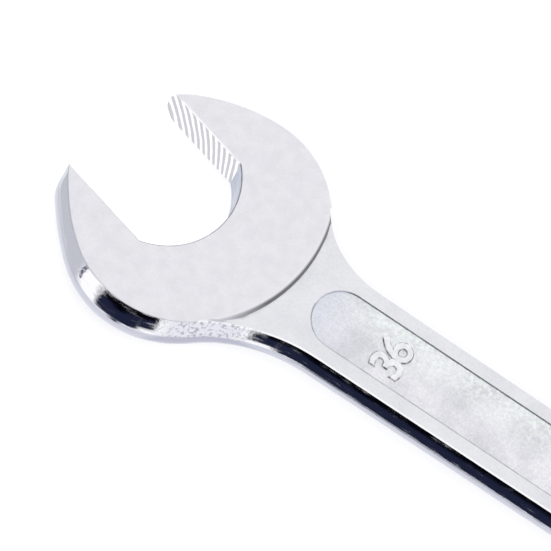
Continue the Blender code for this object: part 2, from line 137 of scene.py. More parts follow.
def line(a, b, spacing=0.0010):
    """Points on the straight line from a to b."""
    steps = max(1, math.ceil((b - a).length / spacing))
    return [a.lerp(b, k / steps) for k in range(steps + 1)]


def joined(*runs):
    """Runs end to end, without doubled points."""
    points = []
    for point in (point for run in runs for point in run):
        if not points or (point - points[-1]).length > SAME_PLACE:
            points.append(point)
    return points


def from_jaw(x, y):
    """A point of the jaw's own frame, x out of the mouth, in the wrench's frame."""
    return NUT + Matrix.Rotation(JAW_ANGLE, 2) @ Vector((x, y))


def in_jaw(point):
    """A point of the wrench's frame in the jaw's own frame."""
    return Matrix.Rotation(-JAW_ANGLE, 2) @ (point - NUT)


def smoothed(points, rounds):
    """The open run with its bends eased and its ends kept."""
    for _ in range(rounds):
        inner = [(points[k - 1] + 2 * points[k] + points[k + 1]) / 4 for k in range(1, len(points) - 1)]
        points = [points[0]] + inner + [points[-1]]
    return points


def resampled(points, spacing):
    """The open run with evenly spaced points."""
    lengths = [0.0]
    for a, b in zip(points, points[1:]):
        lengths.append(lengths[-1] + (b - a).length)
    steps = max(1, round(lengths[-1] / spacing))
    result, k = [], 0
    for step in range(steps + 1):
        along = lengths[-1] * step / steps
        while k < len(points) - 2 and lengths[k + 1] < along:
            k += 1
        share = (along - lengths[k]) / (lengths[k + 1] - lengths[k])
        result.append(points[k].lerp(points[k + 1], min(1.0, share)))
    return result


def fillet(centre, radius, edge_y, fillet_radius, towards):
    """The concave arc from a circle to the straight edge at edge_y, which runs off towards +X or -X."""
    side = 1 if edge_y > RING.y else -1
    y = edge_y + side * fillet_radius
    reach = math.sqrt((radius + fillet_radius) ** 2 - (y - centre.y) ** 2)
    middle = Vector((centre.x + towards * reach, y))
    on_circle = centre + (middle - centre) * (radius / (radius + fillet_radius))
    return arc(middle, fillet_radius, on_circle, Vector((middle.x, edge_y)))


def grown(points, distances):
    """A closed outline, counter-clockwise, with each side moved outwards by its own distance."""
    result = []
    count = len(points)
    for k in range(count):
        before, here, after = points[k - 1], points[k], points[(k + 1) % count]
        side_in, side_out = (here - before).normalized(), (after - here).normalized()
        normal_in, normal_out = Vector((side_in.y, -side_in.x)), Vector((side_out.y, -side_out.x))
        far_in, far_out = distances[k - 1], distances[k]
        cross = normal_in.x * normal_out.y - normal_in.y * normal_out.x
        if abs(cross) < NEARLY_STRAIGHT:
            result.append(here + (normal_in + normal_out).normalized() * ((far_in + far_out) / 2))
        else:
            x = (far_in * normal_out.y - far_out * normal_in.y) / cross
            y = (far_out * normal_in.x - far_in * normal_out.x) / cross
            result.append(here + Vector((x, y)))
    return result


class Area:
    """A closed outline that can say how far outside it a point is, negative inside."""

    def __init__(self, points):
        self.points = points
        self.starts = np.array([tuple(point) for point in points])
        self.sides = np.roll(self.starts, -1, axis=0) - self.starts
        self.ends = self.starts + self.sides
        self.squares = (self.sides**2).sum(axis=1)

    def distance(self, point):
        offsets = np.array(tuple(point)) - self.starts
        shares = np.clip((offsets * self.sides).sum(axis=1) / self.squares, 0.0, 1.0)
        gaps = offsets - self.sides * shares[:, None]
        nearest = math.sqrt((gaps**2).sum(axis=1).min())
        spans = (self.starts[:, 1] > point.y) != (self.ends[:, 1] > point.y)
        starts, sides = self.starts[spans], self.sides[spans]
        crossings = starts[:, 0] + (point.y - starts[:, 1]) / sides[:, 1] * sides[:, 0]
        inside = (crossings > point.x).sum() % 2 == 1
        return -nearest if inside else nearest


# ---------------------------------------------------------------- the forging's outlines

JAW_FACE = ACROSS_FLATS / 2
LEFT_EDGE_Y = RING.y + SHANK_EDGE_AT_JAW + LEFT_EDGE_SHIFT
RIGHT_EDGE_Y = RING.y - SHANK_EDGE_AT_JAW
LEFT_SIDE = (from_jaw(-0.0040, 0.0331), from_jaw(-0.0160, 0.0338), from_jaw(-0.0320, 0.0263))
BACK = (LEFT_SIDE[2], from_jaw(-0.0435, -0.0030), from_jaw(-0.0353, -0.0289))
RIGHT_SIDE = (BACK[2], from_jaw(-0.0218, -0.0351), from_jaw(-0.0080, -0.0337))
LEFT_TIP = (from_jaw(0.0180, JAW_FACE), from_jaw(0.0158, 0.0206), from_jaw(0.0128, 0.0232))
LEFT_JAW = (LEFT_TIP[2], from_jaw(0.0052, 0.0288), LEFT_SIDE[0])
RIGHT_JAW = (RIGHT_SIDE[2], from_jaw(0.0040, -0.0279), from_jaw(0.0115, -0.0219))
RIGHT_TIP = (RIGHT_JAW[2], from_jaw(0.0136, -0.0198), from_jaw(0.0150, -JAW_FACE))
THROAT_ARC = (from_jaw(-0.0109, -JAW_FACE), from_jaw(-0.0204, -0.0005), from_jaw(-0.0097, JAW_FACE))


def head_outline():
    """The open head's flat, as if its mouth were filled."""
    arcs = (LEFT_TIP, LEFT_JAW, LEFT_SIDE, BACK, RIGHT_SIDE, RIGHT_JAW, RIGHT_TIP)
    return joined(*(arc_through(*three) for three in arcs))


def ring_flat():
    """The ring head's flat: a large circle and a small one, joined by their tangents."""
    neck = Vector((RING.x + NECK_X, RING.y))
    tangent = math.acos((RING_RADIUS - NECK_RADIUS) / NECK_X)
    towards = [Vector((math.cos(a), math.sin(a))) for a in (tangent, math.pi, -tangent, 0.0)]
    large = joined(
        arc(RING, RING_RADIUS, RING + towards[0], RING + towards[1]),
        arc(RING, RING_RADIUS, RING + towards[1], RING + towards[2]),
    )
    small = joined(
        arc(neck, NECK_RADIUS, neck + towards[2], neck + towards[3]),
        arc(neck, NECK_RADIUS, neck + towards[3], neck + towards[0]),
    )
    return joined(large, line(large[-1], small[0]), small, line(small[-1], large[0]))[:-1]


def rail():
    """The upper edge of the forging's side, from the left tip round the ring to the right tip."""
    left_centre, left_radius = circle_through(*LEFT_SIDE)
    right_centre, right_radius = circle_through(*RIGHT_SIDE)
    neck = Vector((RING.x + NECK_X, RING.y))
    left_neck = fillet(left_centre, left_radius, LEFT_EDGE_Y, LEFT_NECK_FILLET, -1)
    right_neck = fillet(right_centre, right_radius, RIGHT_EDGE_Y, RIGHT_NECK_FILLET, -1)
    left_flare = fillet(neck, NECK_RADIUS, RING.y + SHANK_EDGE_AT_RING, RING_NECK_FILLET, 1)
    right_flare = fillet(neck, NECK_RADIUS, RING.y - SHANK_EDGE_AT_RING, RING_NECK_FILLET, 1)
    ring = ring_flat()
    first = min(range(len(ring)), key=lambda k: (ring[k] - left_flare[0]).length)
    turned = ring[first:] + ring[:first]
    last = min(range(len(turned)), key=lambda k: (turned[k] - right_flare[0]).length)
    return joined(
        arc_through(*LEFT_TIP),
        arc_through(*LEFT_JAW),
        arc(left_centre, left_radius, LEFT_SIDE[0], left_neck[0]),
        left_neck,
        line(left_neck[-1], left_flare[-1]),
        left_flare[::-1],
        turned[1:last],
        right_flare,
        line(right_flare[-1], right_neck[-1]),
        right_neck[::-1],
        arc(right_centre, right_radius, right_neck[0], RIGHT_SIDE[2]),
        arc_through(*RIGHT_JAW),
        arc_through(*RIGHT_TIP),
    )


def mouth():
    """The gap between the jaws, from the right tip round the throat to the left tip."""
    to_throat, from_throat = line(RIGHT_TIP[2], THROAT_ARC[0]), line(THROAT_ARC[2], LEFT_TIP[0])
    return joined(to_throat, arc_through(*THROAT_ARC), from_throat)


def panel_outline(inset):
    """The sunk panel along the shank, with round ends."""
    radius = PANEL_HALF_WIDTH - inset
    right = Vector((NUT.x - PANEL_FROM_NUT - PANEL_HALF_WIDTH, RING.y))
    left = Vector((RING.x + PANEL_FROM_RING + PANEL_HALF_WIDTH, RING.y))
    up, out = Vector((0.0, 1.0)), Vector((1.0, 0.0))
    corners = [right - radius * up, right + radius * up, left + radius * up, left - radius * up]
    return joined(
        arc(right, radius, corners[0], right + out),
        arc(right, radius, right + out, corners[1]),
        line(corners[1], corners[2], PANEL_SPACING),
        arc(left, radius, corners[2], left - out),
        arc(left, radius, left - out, corners[3]),
        line(corners[3], corners[0], PANEL_SPACING),
    )[:-1]


# ---------------------------------------------------------------- the forging's mesh

FLAT, SATIN, BAND, JAW, THROAT, PANEL, INNER, STEP, LINE = range(9)
RAMP_LENGTH, RAMP_WIDTH = 0.0050, 0.0034
STEP_SHARES = (0.0, 0.12, 0.3, 0.5, 0.7, 0.85, 0.95, 1.0, 1.15)
SLOPE_ROWS, RAMP_ROWS, WALL_ROWS, CORNER_ROWS = 10, 6, 12, 2
SIDE_SPACING, SIDE_SMOOTHING, PANEL_SPACING = 0.0008, 12, 0.004
CURVE_MARGIN = 0.0003
HEAD, RING_FLAT = Area(head_outline()), Area(ring_flat())
PANEL_RIM = Area(panel_outline(-PANEL_RIM_WIDTH))
PANEL_EDGE, PANEL_FLOOR = Area(panel_outline(0.0)), Area(panel_outline(PANEL_WALL))


def cap_height(point, from_edge):
    """How far the upper face stands above the middle of the forging, without the sunk panel."""
    from_head = HEAD.distance(point)
    if from_head <= 0.0:
        return JAW_HALF
    height = SHANK_HALF
    if from_head < STEP_WIDTH:
        height += STEP_HEIGHT * math.sqrt(1.0 - (from_head / STEP_WIDTH) ** 2)
    from_top = max(0.0, 1.0 - from_head / RAMP_LENGTH)
    ramp = STEP_HEIGHT * from_top**2 * eased(1.0 - from_edge / RAMP_WIDTH)
    up_slope = 1.0 - max(0.0, RING_FLAT.distance(point)) / RING_SLOPE_LENGTH
    if up_slope > 0.0:
        height += (RING_HALF - SHANK_HALF) * up_slope**2
    return max(height, SHANK_HALF + ramp)


def eased(share):
    """0 to 1 with flat ends."""
    share = max(0.0, min(1.0, share))
    return share * share * (3 - 2 * share)


def bulge_at(point):
    """How far the side stands out at mid-height."""
    out, across = in_jaw(point)
    head = JAW_BULGE + (HEAD_BULGE - JAW_BULGE) * eased((JAW_BULGE_END - out) / JAW_BULGE_RUN)
    if out > 0.0:
        share = min(1.0, max(0.0, abs(across) - JAW_FACE) / TIP_TAPER)
        head = TIP_BULGE + (head - TIP_BULGE) * math.sin(math.pi / 2 * share)
    to_head = eased((point.x - NUT.x - HEEL_START) / HEEL_RUN)
    to_ring = eased((RING.x + FLARE_START - point.x) / FLARE_RUN)
    return SHANK_BULGE + (head - SHANK_BULGE) * to_head + (RING_BULGE - SHANK_BULGE) * to_ring


def drawn_back(point, up):
    """The point, moved towards the throat if it is low down at the right jaw's tip, which is rounded."""
    out, across = in_jaw(point)
    if out < 0.0 or across > 0.0 or up > 0.0:
        return point
    share = eased(1.0 + (JAW_FACE + across) / TIP_ROUNDING_RUN) * (-up / JAW_HALF) ** 3
    return point + Matrix.Rotation(JAW_ANGLE, 2) @ Vector((-TIP_ROUNDING * share, 0.0))


def side_profile(height, bulge, steps=WALL_ROWS):
    """(outwards, up) from the flat's edge down to the lower flat: a circular arc with eased corners."""
    bulge = max(bulge, EDGE_RADIUS / 10)
    radius = (height**2 + bulge**2) / (2 * bulge)
    top = math.asin(height / radius)
    corner = EDGE_RADIUS
    cut = corner / radius
    rows = [(-corner, height), (-corner * 0.2, height - corner * 0.15)]
    for k in range(steps + 1):
        angle = (top - cut) * (1 - 2 * k / steps)
        rows.append((radius * math.cos(angle) - (radius - bulge), radius * math.sin(angle)))
    return rows + [(out, -up) for out, up in rows[1::-1]]


def face_profile(height, steps=WALL_ROWS):
    """(outwards, up) down a flat upright wall with small chamfers, in as many rows as side_profile."""
    rows = [(-MOUTH_EDGE, height), (-MOUTH_EDGE * 0.4, height - MOUTH_EDGE * 0.4)]
    low = height - MOUTH_EDGE
    rows += [(0.0, low * (1 - 2 * k / steps)) for k in range(steps + 1)]
    return rows + [(out, -up) for out, up in rows[1::-1]]


def perimeter():
    """The whole outline with, for each side that starts at a point, its profile down the edge."""
    side = smoothed(resampled(rail(), SIDE_SPACING), SIDE_SMOOTHING)
    gap = mouth()
    profiles = [side_profile(cap_height(point, 0.0), bulge_at(point)) for point in side]
    corner_profile = profiles[-1]
    profiles[-1] = face_profile(JAW_HALF)
    profiles += [face_profile(JAW_HALF)] * (len(gap) - 2)
    heights = [[up for _, up in profile] for profile in profiles]
    heights[len(side) - 1] = [up for _, up in corner_profile]
    return side + gap[1:-1], profiles, heights, len(side)


def even_faces(plan, rail_count):
    """The plan with the points of the two jaw faces spread evenly between the tips and the throat."""
    right_steps = len(line(RIGHT_TIP[2], THROAT_ARC[0])) - 1
    left_steps = len(line(THROAT_ARC[2], LEFT_TIP[0])) - 1
    runs = ((rail_count - 1, right_steps), (len(plan) - left_steps, left_steps))
    for first, steps in runs:
        start, end = plan[first], plan[(first + steps) % len(plan)]
        for k in range(1, steps):
            plan[first + k] = start.lerp(end, k / steps)
    return plan


def cap_curves(edge):
    """Open and closed curves that the cap's mesh must follow, inside its edge."""
    steps = [(HEAD.points, share * STEP_WIDTH) for share in STEP_SHARES]
    steps += [(RING_FLAT.points, k * RING_SLOPE_LENGTH / SLOPE_ROWS) for k in range(SLOPE_ROWS + 1)]
    area = Area(edge)
    steps += [(edge, -RAMP_WIDTH * k / RAMP_ROWS) for k in range(1, RAMP_ROWS + 1)]
    pieces = []
    for points, distance in steps:
        curve = grown(points, [distance] * len(points))
        kept = [area.distance(point) < -CURVE_MARGIN for point in curve]
        if points is edge:
            on_ramp = [0.0 < HEAD.distance(point) < RAMP_LENGTH for point in curve]
            kept = [inside and near for inside, near in zip(kept, on_ramp)]
        if all(kept):
            pieces.append(curve + curve[:1])
            continue
        start = kept.index(False)
        run = []
        for k in range(len(curve) + 1):
            point = curve[(start + k) % len(curve)]
            if kept[(start + k) % len(curve)]:
                run.append(point)
            elif run:
                pieces.append(run)
                run = []
    for outline in (PANEL_RIM.points, PANEL_EDGE.points, PANEL_FLOOR.points):
        pieces.append(outline + outline[:1])
    return [piece for piece in pieces if len(piece) > 1]


def cap_triangles(edge):
    """Points in plan and triangles that fill the edge and follow the cap's curves."""
    points = list(edge)
    constraints = [(k, (k + 1) % len(edge)) for k in range(len(edge))]
    for curve in cap_curves(edge):
        first = len(points)
        closed = (curve[0] - curve[-1]).length < 1e-6
        kept = curve[:-1] if closed else curve
        points += kept
        constraints += [(first + k, first + k + 1) for k in range(len(kept) - 1)]
        if closed:
            constraints.append((len(points) - 1, first))
    in_mm = [point / MM for point in points]
    found = delaunay_2d_cdt(in_mm, constraints, [], 1, 1e-4)
    return [point * MM for point in found[0]], found[2], found[3]


def region_of(point):
    """The kind of surface that the cap has at this point."""
    from_head = HEAD.distance(point)
    if from_head < 0.0 or RING_FLAT.distance(point) < 0.0:
        return FLAT
    if from_head < STEP_WIDTH:
        return STEP
    if PANEL_FLOOR.distance(point) < 0.0:
        return PANEL
    if point.y > RING.y:
        return LINE if PANEL_RIM.distance(point) < 0.0 else SATIN
    return PANEL if PANEL_EDGE.distance(point) < 0.0 else SATIN


def side_regions(start, end, is_outside):
    """The kinds of surface between two points of the outline: on the wall, and at its two edges."""
    if is_outside:
        return BAND, FLAT if HEAD.distance(start) < EDGE_RADIUS else BAND
    middle = in_jaw((start + end) / 2)
    return (JAW, BAND) if abs(middle.y) > JAW_FACE - SAME_PLACE else (THROAT, LINE)


def add_side(bm):
    """Build the side band. Returns its rows of points from top to bottom, and the top row in plan."""
    outline, profiles, heights, rail_count = perimeter()
    count, rows = len(outline), len(profiles[0])
    grid, plans = [], []
    for row in range(rows):
        plan = grown(outline, [profile[row][0] for profile in profiles])
        plan = [drawn_back(point, heights[k][row]) for k, point in enumerate(plan)]
        plan = even_faces(plan, rail_count)
        plans.append(plan)
        grid.append([bm.verts.new((p.x, p.y, heights[k][row] + MIDDLE_Z)) for k, p in enumerate(plan)])
    for k in range(count):
        after = (k + 1) % count
        wall, edge = side_regions(outline[k], outline[after], k < rail_count - 1)
        for row in range(rows - 1):
            face = bm.faces.new((grid[row + 1][k], grid[row + 1][after], grid[row][after], grid[row][k]))
            is_wall = CORNER_ROWS <= row < rows - 1 - CORNER_ROWS
            face.material_index = wall if is_wall else edge
    return grid, plans[0]


def add_caps(bm, grid, plan):
    """Build the upper and the lower face, inside the side band's top and bottom rows."""
    points, triangles, origins = cap_triangles(plan)
    edge = Area(plan)
    for sign, row in ((1, grid[0]), (-1, grid[-1])):
        verts = []
        for point, origin in zip(points, origins):
            on_edge = [k for k in origin if k < len(plan)]
            if on_edge:
                verts.append(row[on_edge[0]])
                continue
            height = cap_height(point, -edge.distance(point))
            if PANEL_FLOOR.distance(point) < SAME_PLACE:
                height -= PANEL_DEPTH
            verts.append(bm.verts.new((point.x, point.y, MIDDLE_Z + sign * height)))
        for triangle in triangles:
            middle = sum((points[k] for k in triangle), Vector((0.0, 0.0))) / 3
            corners = [verts[k] for k in triangle]
            face = bm.faces.new(corners if sign > 0 else corners[::-1])
            face.material_index = region_of(middle)


def placed(name, data):
    """A new object in the scene."""
    made = bpy.data.objects.new(name, data)
    bpy.context.scene.collection.objects.link(made)
    return made


def placed_mesh(name, bm):
    """A new object in the scene, with the mesh that was built."""
    mesh = bpy.data.meshes.new(name)
    bm.to_mesh(mesh)
    bm.free()
    return placed(name, mesh)


def make_forging():
    """The forging before it is machined, with the region that each face belongs to."""
    bm = bmesh.new()
    grid, plan = add_side(bm)
    add_caps(bm, grid, plan)
    bm.normal_update()
    return placed_mesh("forging", bm)


# ---------------------------------------------------------------- what is machined out of the forging

WEB_Z, COVER_Z = 0.0145, 0.0023
COVER_INSET = 0.0012
GEAR_CAVITY, GEAR_BORE = 0.0269, 0.0245
POCKET_NEAR, POCKET_FAR, POCKET_HALF = 0.0215, 0.0375, 0.0166
CHAMBER_RADIUS, LEVER_BORE, PIN_HOLE, PIN_DEPTH = 0.0062, 0.0051, 0.0021, 0.0020
SCREW_CIRCLE, SCREW_NECK_X, SCREW_HOLE, SCREW_DEPTH = 0.0291, 0.0510, 0.0013, 0.0070
OVERSHOOT = 0.004
HAIRLINES = (0.00003, 0.00006)


def prism(name, outline, low, high):
    """A plain closed solid, used as a cutter."""
    bm = bmesh.new()
    rows = [[bm.verts.new((p.x, p.y, z)) for p in outline] for z in (low, high)]
    for k in range(len(outline)):
        after = (k + 1) % len(outline)
        bm.faces.new((rows[0][k], rows[0][after], rows[1][after], rows[1][k]))
    bm.faces.new(rows[0][::-1])
    bm.faces.new(rows[1])
    for face in bm.faces:
        face.material_index = INNER
    return placed_mesh(name, bm)


def disc(centre, radius, steps=64):
    """A closed circle in plan."""
    turns = [2 * math.pi * k / steps for k in range(steps)]
    return [centre + radius * Vector((math.cos(a), math.sin(a))) for a in turns]


def machining():
    """The cutters for the ring head: cover seat, gear, pawl, lever, pin and screws."""
    low, high = -OVERSHOOT, 2 * RING_HALF + OVERSHOOT
    seat = grown(RING_FLAT.points, [-COVER_INSET] * len(RING_FLAT.points))
    corners = ((POCKET_FAR, -1), (POCKET_FAR, 1), (POCKET_NEAR, 1), (POCKET_NEAR, -1))
    pocket = [RING + Vector((x, side * POCKET_HALF)) for x, side in corners]
    lever, pin = LEVER.xy, PAWL_PIVOT.xy
    cutters = [
        prism("cover_seat", seat, low, COVER_Z),
        prism("gear_cavity", disc(RING, GEAR_CAVITY, 128), low, WEB_Z),
        prism("gear_bore", disc(RING, GEAR_BORE, 144), low, high),
        prism("pawl_pocket", pocket, low, WEB_Z),
        prism("lever_chamber", disc(lever, CHAMBER_RADIUS), low, WEB_Z),
        prism("lever_bore", disc(lever, LEVER_BORE), low, high),
        prism("pin_hole", disc(pin, PIN_HOLE, 32), low, WEB_Z + PIN_DEPTH),
    ]
    places = ((0.0, SCREW_CIRCLE), (-SCREW_CIRCLE, 0.0), (0.0, -SCREW_CIRCLE), (SCREW_NECK_X, 0.0))
    for k, place in enumerate(places):
        hole = disc(RING + Vector(place), SCREW_HOLE, 24)
        cutters.append(prism(f"screw_hole_{k}", hole, low, SCREW_DEPTH))
    return cutters


def welded(mesh, distance):
    """The mesh with close points joined, and without points that carry no face."""
    bm = bmesh.new()
    bm.from_mesh(mesh)
    bmesh.ops.remove_doubles(bm, verts=bm.verts, dist=distance)
    loose = [vert for vert in bm.verts if not vert.link_faces]
    bmesh.ops.delete(bm, geom=loose, context="VERTS")
    bm.to_mesh(mesh)
    bm.free()
    return mesh


def mended(mesh):
    """The mesh without the hairline gaps that cutting leaves."""
    bm = bmesh.new()
    bm.from_mesh(mesh)
    for distance in HAIRLINES:
        ends = {vert for edge in bm.edges if edge.is_boundary for vert in edge.verts}
        bmesh.ops.remove_doubles(bm, verts=list(ends), dist=distance)
    gaps = [edge for edge in bm.edges if edge.is_boundary]
    bmesh.ops.holes_fill(bm, edges=gaps, sides=0)
    bm.to_mesh(mesh)
    bm.free()
    return mesh


def cut(target, cutters):
    """Take the cutters out of the target for good, and remove them."""
    for cutter in cutters:
        modifier = target.modifiers.new(cutter.name, "BOOLEAN")
        modifier.operation = "DIFFERENCE"
        modifier.solver = "EXACT"
        modifier.object = cutter
    graph = bpy.context.evaluated_depsgraph_get()
    mesh = bpy.data.meshes.new_from_object(target.evaluated_get(graph))
    target.modifiers.clear()
    target.data = mended(mesh)
    for cutter in cutters:
        bpy.data.objects.remove(cutter)


def soft_edges(made, angle=30.0):
    """Smooth shading with sharp edges, and normals that follow the large faces."""
    made.data.shade_smooth()
    made.data.set_sharp_from_angle(angle=math.radians(angle))
    weighted = made.modifiers.new("weighted_normals", "WEIGHTED_NORMAL")
    weighted.keep_sharp = True


# ---------------------------------------------------------------- materials

FLAT_TONE, FLAT_DARK = (0.800, 0.795, 0.830), (0.765, 0.760, 0.795)
SHANK_TONE, SHANK_DARK = (0.800, 0.803, 0.830), (0.760, 0.765, 0.795)
PANEL_TONE, PANEL_DARK = (0.850, 0.850, 0.885), (0.710, 0.710, 0.750)
# The pale tone is painted highlight, in specks along the panel's right side.
PANEL_BLUE, PANEL_GLINT_TONE = (0.735, 0.752, 0.815), (0.885, 0.935, 0.915)
BLUE_FROM_NUT = (-0.068, -0.055)
GLINT_FROM_AXIS = (-0.0035, 0.0045)
# The second side tone is painted shade: a lavender tint where the side faces down.
SIDE_TONE, SIDE_UNDERSIDE_SHADE, PIT_TONE = (0.93, 0.93, 0.95), (0.575, 0.590, 0.675), (0.56, 0.56, 0.61)
UNDERSIDE_SHADE_NORMALS = (0.26, 0.34)
PITS_FROM_NUT, PITS_TO_NUT, PITS_FROM_AXIS = (-0.048, -0.038), (-0.027, -0.017), 0.005
SHADE_TONE, SHADE_FROM_AXIS = (0.205, 0.205, 0.21), (0.008, 0.022)
MARK_TONE = (0.56, 0.56, 0.595)
THROAT_TONE, THROAT_DARK = (0.510, 0.545, 0.655), (0.450, 0.490, 0.605)
INSIDE_TONE, INSIDE_DARK = (0.50, 0.50, 0.52), (0.44, 0.44, 0.46)
# Painted shade: a darker line along the throat's edges and along the sunk panel's wall and rim on the +Y
# side.
EDGE_LINE_SHADE, EDGE_LINE_SHADE_DARK = (0.50, 0.50, 0.52), (0.34, 0.34, 0.36)
NUMBER_TONE, NUMBER_DARK = (0.87, 0.88, 0.89), (0.76, 0.76, 0.79)
# The digits' sides carry painted highlights and painted shade.
NUMBER_EDGE_HIGHLIGHT, NUMBER_EDGE_SHADE = (0.98, 0.98, 0.98), (0.16, 0.16, 0.17)
CHROME_TONE, CHROME_DARK = (0.80, 0.80, 0.83), (0.76, 0.76, 0.79)
STEEL_TONE, STEEL_DARK = (0.46, 0.45, 0.45), (0.40, 0.39, 0.40)
BLACKENED_TONE, BLACKENED_DARK = (0.07, 0.07, 0.08), (0.05, 0.05, 0.055)
SPRING_TONE, SPRING_DARK = (0.55, 0.55, 0.58), (0.50, 0.50, 0.53)
WHITE, BLACK = (1.0, 1.0, 1.0), (0.0, 0.0, 0.0)
SPECKLE_SCALE = 1500.0
FINE_PITS, PIT_SCALE = 0.42, 1150.0
MARKS_START, MARKS_LENGTH = -0.0100, 0.0240
MARKS, MARKS_SPREAD, MARKS_WAVER = 12.2, -2.6, 0.30
MARK_SLANT_AT_THROAT, MARK_SLANT_AT_TIP = 0.13, 0.74


class Nodes:
    """Short ways to add nodes to one material or world."""

    def __init__(self, tree):
        self.tree = tree

    def add(self, kind, inputs=(), **settings):
        """A node with its settings and inputs. An input is a value or the output of another node."""
        node = self.tree.nodes.new(kind)
        for name, value in settings.items():
            setattr(node, name, value)
        for name, value in dict(inputs).items():
            if isinstance(value, bpy.types.NodeSocket):
                self.tree.links.new(value, node.inputs[name])
            else:
                node.inputs[name].default_value = value
        return node

    def math(self, operation, *values):
        """A Math node's result."""
        return self.add("ShaderNodeMath", dict(enumerate(values)), operation=operation).outputs[0]

    def noise(self, place, scale, detail=3.0):
        """Noise between 0 and 1 over a place in metres."""
        inputs = {"Vector": place, "Scale": scale, "Detail": detail}
        return self.add("ShaderNodeTexNoise", inputs).outputs["Fac"]

    def parts(self, vector):
        """The vector's X, Y and Z, by name."""
        return self.add("ShaderNodeSeparateXYZ", {"Vector": vector}).outputs

    def bump(self, height, distance, strength=1.0):
        """The normal of a surface that is raised by a height."""
        inputs = {"Height": height, "Distance": distance, "Strength": strength}
        return self.add("ShaderNodeBump", inputs).outputs["Normal"]

    def lead(self, value, node, name):
        """Connect an output of one node to an input of another."""
        self.tree.links.new(value, node.inputs[name])

    def spread(self, value, low, high, to_low, to_high, kind="LINEAR"):
        """The value moved from one range to another, held at its ends."""
        inputs = {"Value": value, "From Min": low, "From Max": high, "To Min": to_low, "To Max": to_high}
        return self.add("ShaderNodeMapRange", inputs, interpolation_type=kind).outputs["Result"]

    def blend(self, share, a, b):
        """The mix of two colours."""
        node = self.add("ShaderNodeMix", {"Factor": share}, data_type="RGBA")
        for name, value in (("A", a), ("B", b)):
            socket = [s for s in node.inputs if s.name == name and s.type == "RGBA"][0]
            if isinstance(value, bpy.types.NodeSocket):
                self.tree.links.new(value, socket)
            else:
                socket.default_value = (*value, 1.0)
        return [s for s in node.outputs if s.type == "RGBA"][0]


def opened(material):
    """A material's nodes, its shader, and the place on the object in metres."""
    nodes = Nodes(material.node_tree)
    place = nodes.add("ShaderNodeTexCoord").outputs["Object"]
    return nodes, material.node_tree.nodes["Principled BSDF"], place


def metal(name, colour, dark, roughness, mottle, bump, grain, speckle=0.0):
    """A chromed steel: two close tones, roughness that varies with them, and fine unevenness."""
    made = bpy.data.materials.new(name)
    made.use_nodes = True
    nodes, shader, place = opened(made)
    cloud = nodes.noise(place, mottle)
    share = nodes.spread(cloud, 0.35, 0.65, 0.0, 1.0)
    tone = nodes.blend(share, colour, dark)
    if speckle:
        fine = nodes.spread(nodes.noise(place, SPECKLE_SCALE), 0.35, 0.65, 0.0, speckle)
        tone = nodes.blend(fine, tone, BLACK)
    nodes.lead(tone, shader, "Base Color")
    shader.inputs["Metallic"].default_value = 1.0
    rough = nodes.spread(cloud, 0.3, 0.7, roughness[0], roughness[1])
    nodes.lead(rough, shader, "Roughness")
    height = nodes.noise(place, grain, 2.0)
    nodes.lead(nodes.bump(height, bump), shader, "Normal")
    return made


def milled_metal():
    """The jaw faces, with the slanted marks that a cutter leaves across them."""
    made = metal("milled_jaw", WHITE, WHITE, (0.16, 0.22), 400.0, 0.00002, 900.0)
    nodes, shader, place = opened(made)
    out = Matrix.Rotation(JAW_ANGLE, 2) @ Vector((1.0, 0.0))
    inputs = {0: place, 1: (out.x, out.y, 0.0)}
    along = nodes.add("ShaderNodeVectorMath", inputs, operation="DOT_PRODUCT").outputs["Value"]
    from_throat = nodes.math("SUBTRACT", along, NUT.dot(out) + MARKS_START)
    height = nodes.parts(place)["Z"]
    depth = nodes.math("SUBTRACT", MIDDLE_Z + JAW_HALF, height)
    slant = nodes.spread(from_throat, 0.0, MARKS_LENGTH, MARK_SLANT_AT_THROAT, MARK_SLANT_AT_TIP)
    slanted = nodes.math("MULTIPLY_ADD", depth, slant, from_throat)
    share = nodes.math("DIVIDE", slanted, MARKS_LENGTH)
    waver = nodes.math("MULTIPLY", nodes.noise(place, 260.0), MARKS_WAVER)
    widened = nodes.math("MULTIPLY_ADD", nodes.math("MULTIPLY", share, share), MARKS_SPREAD, waver)
    count = nodes.math("MULTIPLY_ADD", share, MARKS, widened)
    wave = nodes.math("SINE", nodes.math("MULTIPLY", count, 2 * math.pi))
    stripe = nodes.spread(wave, -0.25, 0.35, 0.0, 1.0, "SMOOTHSTEP")
    colour = nodes.blend(stripe, MARK_TONE, WHITE)
    nodes.lead(colour, shader, "Base Color")
    nodes.lead(nodes.bump(stripe, 0.00002, 0.6), shader, "Normal")
    return made


